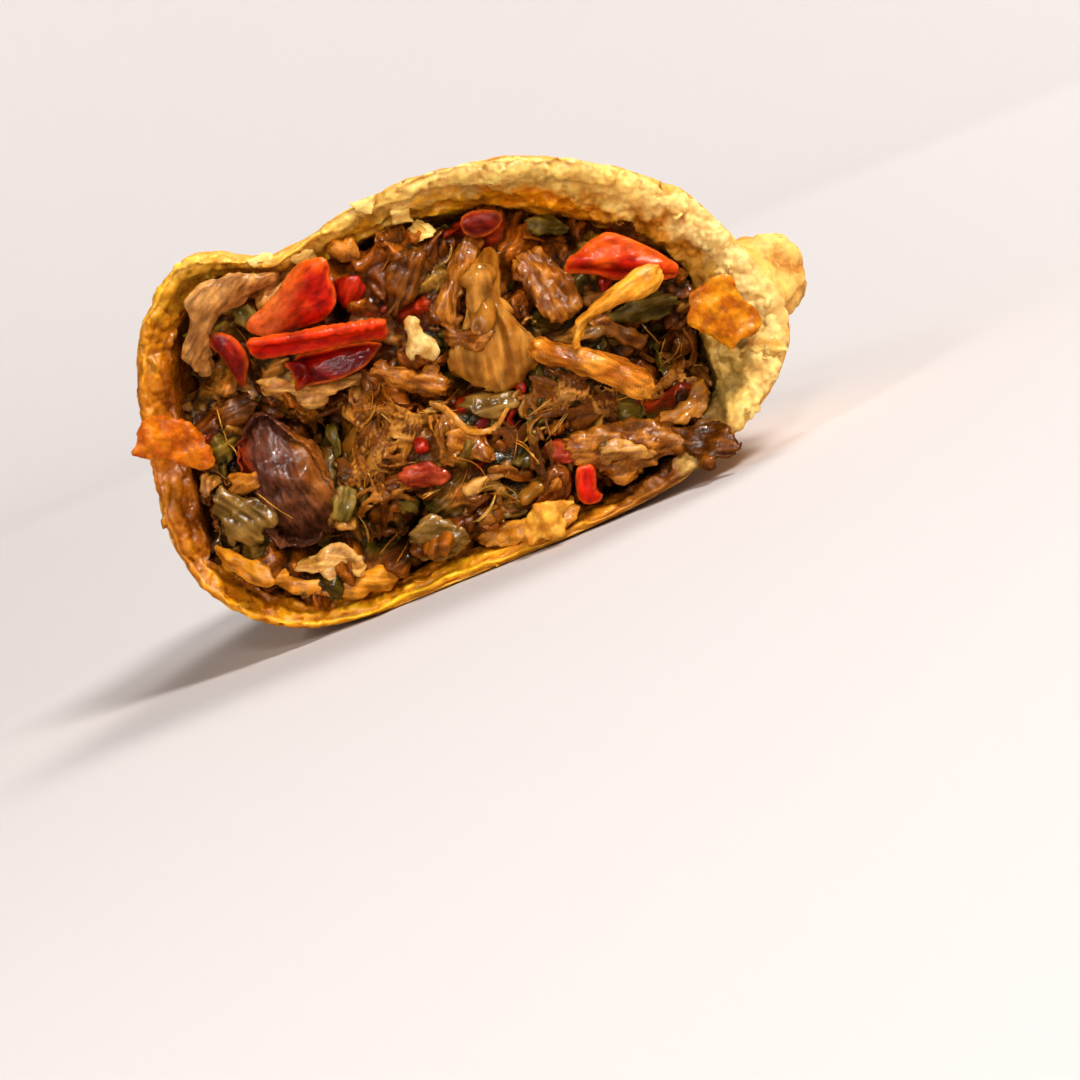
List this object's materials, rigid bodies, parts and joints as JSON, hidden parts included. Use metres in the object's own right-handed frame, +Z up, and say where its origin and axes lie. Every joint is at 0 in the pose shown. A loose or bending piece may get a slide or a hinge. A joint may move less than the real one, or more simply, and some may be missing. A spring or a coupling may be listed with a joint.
{
  "type": "empanada half",
  "caption": "Broken half of a baked half-moon turnover, with a thick rolled edge and a filling of shredded pork and peppers.",
  "frame": {"origin": "middle of the bounding box, on the plane of the flat baked base", "axes": "+X from the folded edge to the crimped edge, +Y from the broken face to the closed tip, +Z up from the base"},
  "size_m": [0.0792, 0.0676, 0.046],
  "materials": {
    "pastry": "baked golden pastry, dry and blistered",
    "filling": "moist shredded pork in sauce",
    "red_pepper": "wet red pepper",
    "orange_pepper": "wet orange-red pepper",
    "dark_pepper": "wet dark red pepper",
    "dark_meat": "roasted pork, dark and fibrous",
    "pale_meat": "pale roasted pork",
    "shred": "oiled pork shred",
    "onion": "soft translucent onion",
    "oiled_crumb": "pastry flake soaked with orange oil",
    "pale_crumb": "dry pale pastry flake"
  },
  "bodies": {
    "root": {"pastry_case": "pastry", "filling": "filling", "pepper_wedge": "red_pepper", "pepper_strip": "red_pepper", "pepper_bit": "red_pepper", "pepper_corner": "orange_pepper", "pepper_slab": "dark_pepper", "pepper_drop": "dark_pepper", "pepper_crown": "dark_pepper", "meat_chunk": "dark_meat", "meat_chunk_low": "dark_meat", "pork_curl": "pale_meat", "pork_baton": "shred", "onion_slice": "onion", "crumb_flake": "pale_crumb", "base_flake": "pale_crumb", "orange_flake": "oiled_crumb", "side_flake": "oiled_crumb", "yellow_strip": "shred"}
  },
  "joints": []
}
